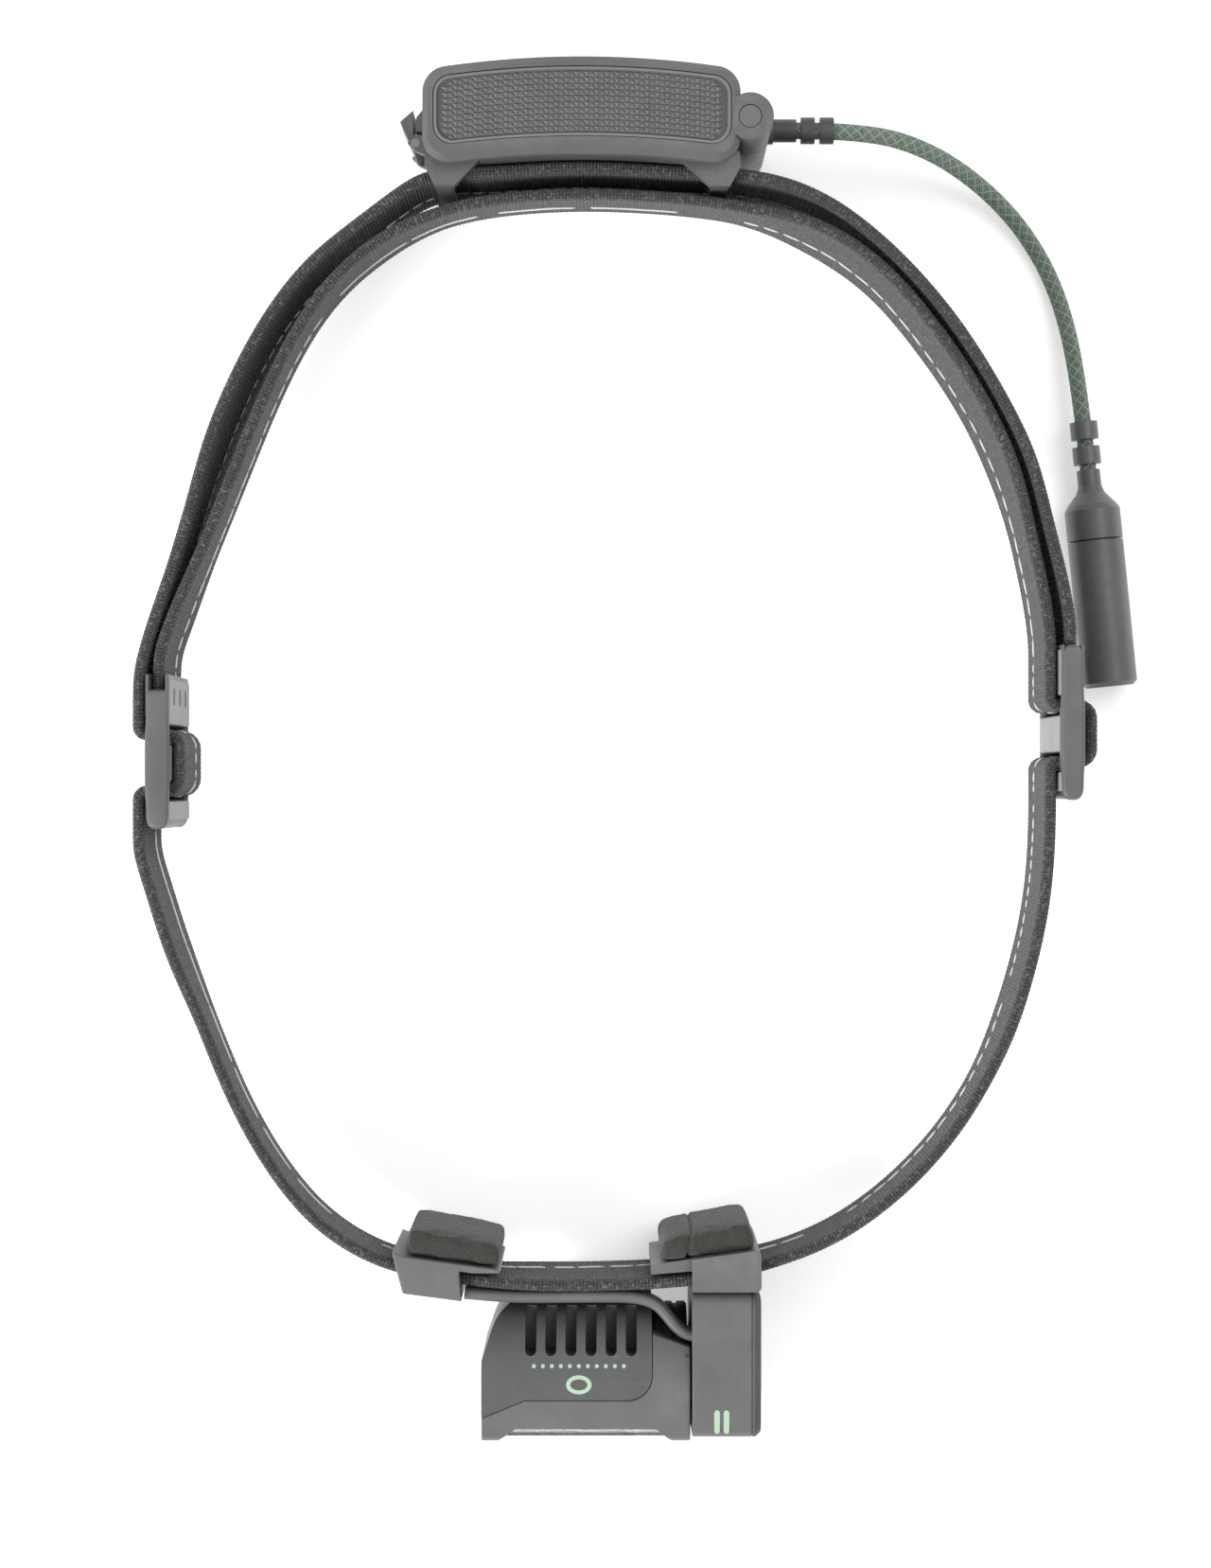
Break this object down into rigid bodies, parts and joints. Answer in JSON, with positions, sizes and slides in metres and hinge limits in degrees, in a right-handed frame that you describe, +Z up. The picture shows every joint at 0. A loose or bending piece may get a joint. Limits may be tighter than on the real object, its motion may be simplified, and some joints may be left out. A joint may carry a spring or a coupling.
{
  "type": "headlamp",
  "caption": "Headlamp with a tilting multi-beam lamp on an elastic headband, a hinged rear battery pack and a short braided cord with a capped plug.",
  "frame": {"origin": "on the standing surface, under the middle of the headlamp's bounding box, its loose cord left out", "axes": "+Z up from the lower edges it stands on, which is the wearer's up when worn; +X the wearer's left; +Y the back of the head; the beam points along -Y"},
  "size_m": [0.1858, 0.2484, 0.04],
  "materials": {
    "webbing": "ribbed elastic knit",
    "pad_foam": "napped foam pad",
    "gray_plastic": "fine matt moulding",
    "dark_plastic": "fine matt moulding",
    "slider_plastic": "satin moulding",
    "soft_rubber": "matt rubber",
    "lens_clear": "clear polished plastic",
    "mirror_coat": "vacuum-plated reflector",
    "circuit": "solder-masked board",
    "led": "phosphor",
    "steel": "plain",
    "contact_metal": "plated contact",
    "cell_jacket": "printed-free metal jacket",
    "braid": "braided sleeve"
  },
  "bodies": {
    "band_and_base": {"front_webbing": "webbing", "rear_webbing_inner": "webbing", "rear_webbing_outer": "webbing", "slider_right_side": "slider_plastic", "slider_left_side": "slider_plastic", "band_clip": "gray_plastic", "forehead_pad_right": "pad_foam", "forehead_pad_left": "pad_foam", "band_clamp": "gray_plastic", "column_housing": "gray_plastic", "side_cover": "soft_rubber", "driver_board": "circuit", "tact_switch": "dark_plastic", "tilt_friction_ring": "soft_rubber", "lamp_lead": "soft_rubber", "battery_base": "gray_plastic", "cover_hinge_pin": "steel", "latch_pin": "steel", "base_seal": "soft_rubber", "aaa_cells": "cell_jacket", "contact_springs": "contact_metal", "contact_plates": "contact_metal", "band_cradle": "gray_plastic", "base_screws": "steel", "battery_cord": "braid", "cord_boot": "soft_rubber", "connector_body": "soft_rubber", "connector_plug": "dark_plastic", "connector_pins": "contact_metal", "connector_seal": "soft_rubber"},
    "lamp_head": {"heat_sink": "gray_plastic", "front_bezel": "gray_plastic", "tilt_axle": "gray_plastic", "axle_nut": "steel", "front_lens": "lens_clear", "lens_seal": "soft_rubber", "led_board": "circuit", "led_chips": "led", "flood_reflector": "mirror_coat", "spot_reflector": "mirror_coat", "centre_optic": "lens_clear", "bezel_screws": "steel"},
    "push_button": {"power_button": "soft_rubber"},
    "pack_cover": {"battery_cover": "dark_plastic", "grip_panel_top": "soft_rubber", "grip_panel_bottom": "soft_rubber"},
    "pack_latch": {"cover_latch": "gray_plastic"},
    "plug_cap": {"connector_cap": "soft_rubber"}
  },
  "joints": [
    {"name": "head_tilt", "type": "hinge", "parent": "band_and_base", "child": "lamp_head", "pos_m": [0, -0.1135, 0.018], "axis": [1, 0, 0], "range_deg": [0, 60]},
    {"name": "power_press", "type": "slide", "parent": "band_and_base", "child": "push_button", "axis": [-1, 0, 0], "range_m": [0, 0.0006], "stiffness_N_per_m": 2500},
    {"name": "cover_hinge", "type": "hinge", "parent": "band_and_base", "child": "pack_cover", "pos_m": [0.0241, 0.1134, 0.02], "axis": [0, 0, -1], "range_deg": [0, 60]},
    {"name": "latch_swing", "type": "hinge", "parent": "band_and_base", "child": "pack_latch", "pos_m": [-0.0363, 0.1109, 0.02], "axis": [0, 0, 1], "range_deg": [0, 25], "stiffness_Nm_per_rad": 0.05},
    {"name": "cap_pull", "type": "slide", "parent": "band_and_base", "child": "plug_cap", "axis": [0.1001, -0.995, 0], "range_m": [0, 0.013]}
  ]
}
